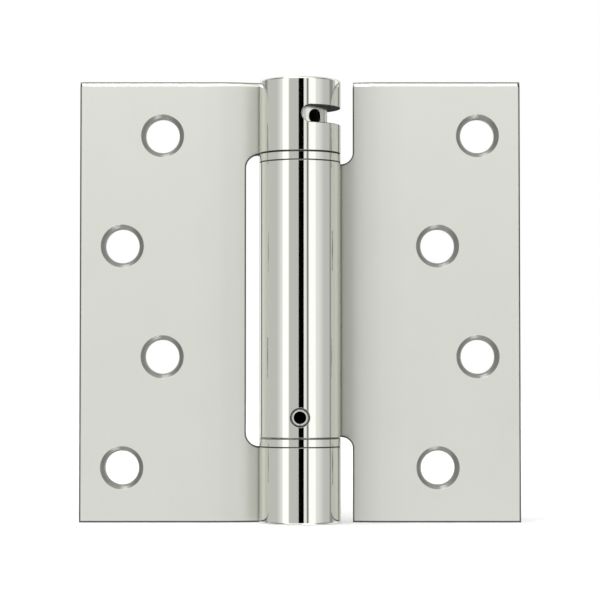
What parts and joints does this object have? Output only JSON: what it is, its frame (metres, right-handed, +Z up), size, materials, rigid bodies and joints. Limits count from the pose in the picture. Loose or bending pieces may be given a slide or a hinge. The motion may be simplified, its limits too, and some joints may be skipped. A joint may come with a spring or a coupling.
{
  "type": "spring hinge",
  "caption": "Spring hinge opened flat: two countersunk leaves with rolled knuckles round a torsion-spring barrel, bearing washers and a windowed tension collar.",
  "frame": {"origin": "on the pin axis, at the middle of the hinge's height", "axes": "+Z up along the pin axis, +X along the open door leaf, -Y out of the countersunk leaf faces"},
  "size_m": [0.1142, 0.021, 0.1142],
  "materials": {
    "plated_steel": "polished plate",
    "plain_steel": "turned",
    "spring_steel": "oiled"
  },
  "bodies": {
    "frame_side": {"frame_leaf": "plated_steel", "lower_bearing_washer": "plated_steel", "top_cap": "plated_steel", "bottom_cap": "plated_steel"},
    "door_side": {"door_leaf": "plated_steel", "upper_bearing_washer": "plated_steel", "spring_anchor": "plain_steel", "anchor_roll_pin": "plain_steel", "torsion_spring": "spring_steel"},
    "tension_side": {"tension_collar": "plain_steel"}
  },
  "joints": [
    {"name": "door_swing", "type": "hinge", "parent": "frame_side", "child": "door_side", "pos_m": [0, 0, 0], "axis": [0, 0, -1], "range_deg": [0, 180]},
    {"name": "spring_wind", "type": "hinge", "parent": "door_side", "child": "tension_side", "pos_m": [0, 0, 0], "axis": [0, 0, -1], "range_deg": [0, 180], "stiffness_Nm_per_rad": 1.2, "deforming": ["torsion_spring"]}
  ]
}
